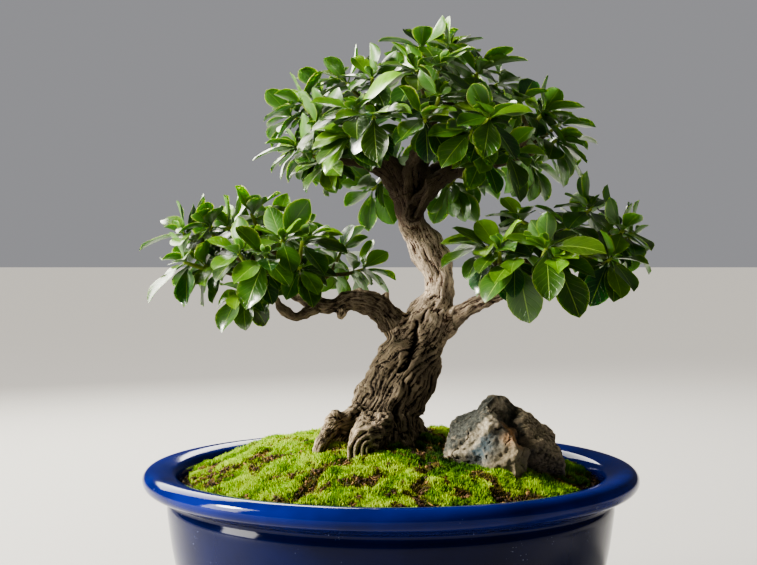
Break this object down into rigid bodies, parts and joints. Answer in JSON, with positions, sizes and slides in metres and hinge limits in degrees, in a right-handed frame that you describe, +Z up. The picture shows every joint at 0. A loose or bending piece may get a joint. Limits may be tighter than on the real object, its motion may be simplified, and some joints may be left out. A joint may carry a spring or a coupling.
{
  "type": "bonsai tree in a pot",
  "caption": "Small broad-leaved bonsai with a twisted trunk and layered leafy pads, in a round glazed pot with soil, moss and a rock.",
  "frame": {"origin": "middle of the pot's foot ring, on the surface that the pot stands on", "axes": "+Z up, +X to the right as the picture shows the tree, +Y away from the picture's side"},
  "size_m": [0.3036, 0.3, 0.393],
  "materials": {
    "glaze": "glossy cobalt blue glaze with pale speckles",
    "screen_plastic": "moulded black plastic mesh",
    "soil": "dark granular potting soil",
    "moss": "short cushion moss, yellow green to dark green",
    "stone": "rough broken grey stone with pale edges",
    "bark": "furrowed grey brown bark",
    "leaf": "glossy green leaves with pale margins, and green twigs"
  },
  "bodies": {
    "root": {"pot": "glaze", "drain_screen": "screen_plastic", "soil": "soil", "moss_1": "moss", "moss_2": "moss", "moss_3": "moss", "moss_4": "moss", "moss_5": "moss", "moss_6": "moss", "moss_7": "moss", "rock": "stone", "trunk": "bark", "spray_crown_back_left": "leaf", "spray_crown_back_low": "leaf", "spray_crown_back_right": "leaf", "spray_crown_back_right_low": "leaf", "spray_crown_back_top": "leaf", "spray_crown_far_right": "leaf", "spray_crown_front_centre": "leaf", "spray_crown_front_left": "leaf", "spray_crown_front_middle": "leaf", "spray_crown_front_right": "leaf", "spray_crown_left": "leaf", "spray_crown_left_back": "leaf", "spray_crown_left_low": "leaf", "spray_crown_right": "leaf", "spray_crown_right_back": "leaf", "spray_crown_right_front": "leaf", "spray_crown_top": "leaf", "spray_crown_top_right": "leaf", "spray_crown_upper_left": "leaf", "spray_left_back": "leaf", "spray_left_centre": "leaf", "spray_left_front": "leaf", "spray_left_right_back": "leaf", "spray_left_tip": "leaf", "spray_left_tip_back": "leaf", "spray_left_tip_low": "leaf", "spray_left_upper": "leaf", "spray_right_back": "leaf", "spray_right_back_left": "leaf", "spray_right_front": "leaf", "spray_right_front_left": "leaf", "spray_right_tip": "leaf", "spray_right_tip_low": "leaf", "spray_right_upper": "leaf"}
  },
  "joints": []
}
